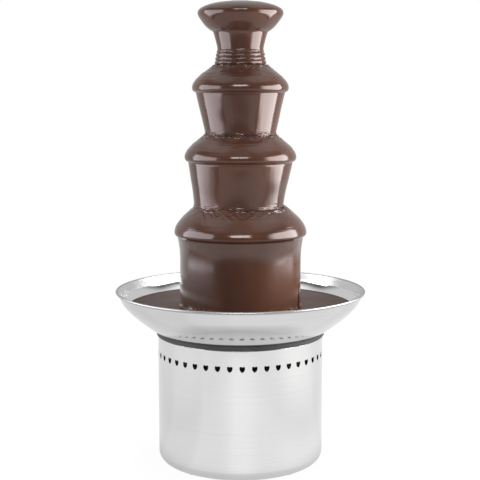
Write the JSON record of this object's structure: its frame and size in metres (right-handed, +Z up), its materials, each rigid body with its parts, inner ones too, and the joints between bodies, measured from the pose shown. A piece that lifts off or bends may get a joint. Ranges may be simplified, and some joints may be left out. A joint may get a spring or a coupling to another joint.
{
  "type": "chocolate fountain",
  "caption": "Chocolate fountain: a heated bowl on a vented steel drum, with a driven screw that lifts chocolate up a tower to a crown and tiers, from which it falls in curtains.",
  "frame": {"origin": "on the surface it stands on, under the tower's axis", "axes": "+Z up along the tower, -Y towards the pictured front, controls on +Y"},
  "size_m": [0.35, 0.35, 0.6458],
  "materials": {
    "drum_steel": "satin, brushed round the drum",
    "bowl_steel": "polished inside, satin outside",
    "tower_steel": "polished",
    "plain_steel": "plain zinc-plated or bright steel",
    "ring_plastic": "black, heat-resistant",
    "foot_rubber": "black",
    "bush_brass": "turned",
    "cast_aluminium": "as cast",
    "motor_paint": "dark grey paint",
    "element_sheath": "heat-darkened sheath",
    "panel_plastic": "black, fine texture",
    "rocker_black": "black, smooth",
    "rocker_red": "red, smooth",
    "white_nylon": "white, moulded",
    "chocolate": "melted chocolate, glossy"
  },
  "bodies": {
    "base": {"base_shell": "drum_steel", "bowl": "bowl_steel", "tower_studs": "tower_steel", "base_plate": "plain_steel", "tie_rods": "plain_steel", "rod_nuts": "plain_steel", "motor_plate": "plain_steel", "gearbox_screws": "plain_steel", "motor_screws": "plain_steel", "cluster_axle": "plain_steel", "heater_clamps": "plain_steel", "seat_ring": "ring_plastic", "rubber_feet": "foot_rubber", "shaft_seal": "foot_rubber", "bowl_bush": "bush_brass", "bush_nut": "bush_brass", "plate_bush": "bush_brass", "gearbox_case": "cast_aluminium", "heat_spreader": "cast_aluminium", "motor_can": "motor_paint", "heating_element": "element_sheath", "control_panel": "panel_plastic", "motor_switch_body": "panel_plastic", "heater_switch_body": "panel_plastic", "cable_gland": "panel_plastic", "gland_nut": "panel_plastic", "thermostat_body": "white_nylon", "chocolate_pool": "chocolate"},
    "drive": {"drive_shaft": "plain_steel", "output_gear": "white_nylon", "drive_coupling": "plain_steel", "auger": "white_nylon"},
    "cluster": {"cluster_gear": "white_nylon"},
    "rotor": {"motor_shaft": "plain_steel", "motor_pinion": "bush_brass"},
    "knob": {"thermostat_spindle": "bush_brass", "temperature_knob": "panel_plastic"},
    "motor_switch": {"motor_rocker": "rocker_black"},
    "heater_switch": {"heater_rocker": "rocker_red"},
    "tower": {"tower_tube": "tower_steel"},
    "lower": {"tier_lower": "tower_steel", "chocolate_lower": "chocolate"},
    "middle": {"tier_middle": "tower_steel", "chocolate_middle": "chocolate"},
    "upper": {"tier_upper": "tower_steel", "chocolate_upper": "chocolate"},
    "top": {"crown": "tower_steel", "chocolate_crown": "chocolate"}
  },
  "joints": [
    {"name": "auger_spin", "type": "hinge", "parent": "base", "child": "drive", "pos_m": [0, 0, 0.2], "axis": [0, 0, 1], "continuous": true},
    {"name": "cluster_spin", "type": "hinge", "parent": "base", "child": "cluster", "pos_m": [0.0375, 0, 0.13], "axis": [0, 0, 1], "continuous": true},
    {"name": "motor_spin", "type": "hinge", "parent": "base", "child": "rotor", "pos_m": [0.02187, 0.02706, 0.12], "axis": [0, 0, 1], "continuous": true},
    {"name": "temperature_turn", "type": "hinge", "parent": "base", "child": "knob", "pos_m": [0, 0.105, 0.0742], "axis": [0, 1, 0], "range_deg": [0, 270]},
    {"name": "motor_rock", "type": "hinge", "parent": "base", "child": "motor_switch", "pos_m": [-0.028, 0.104, 0.0742], "axis": [1, 0, 0], "range_deg": [0, 16]},
    {"name": "heater_rock", "type": "hinge", "parent": "base", "child": "heater_switch", "pos_m": [0.028, 0.104, 0.0742], "axis": [1, 0, 0], "range_deg": [0, 16]},
    {"name": "tower_lift", "type": "slide", "parent": "base", "child": "tower", "axis": [0, 0, 1], "range_m": [0, 0.42]},
    {"name": "lower_tier_lift", "type": "slide", "parent": "tower", "child": "lower", "axis": [0, 0, 1], "range_m": [0, 0.32]},
    {"name": "middle_tier_lift", "type": "slide", "parent": "lower", "child": "middle", "axis": [0, 0, 1], "range_m": [0, 0.25]},
    {"name": "upper_tier_lift", "type": "slide", "parent": "middle", "child": "upper", "axis": [0, 0, 1], "range_m": [0, 0.148]},
    {"name": "crown_lift", "type": "slide", "parent": "upper", "child": "top", "axis": [0, 0, 1], "range_m": [0, 0.055]}
  ],
  "couplings": [
    {"joint": "cluster_spin", "follows": "auger_spin", "ratio": -4},
    {"joint": "motor_spin", "follows": "auger_spin", "ratio": 16}
  ]
}
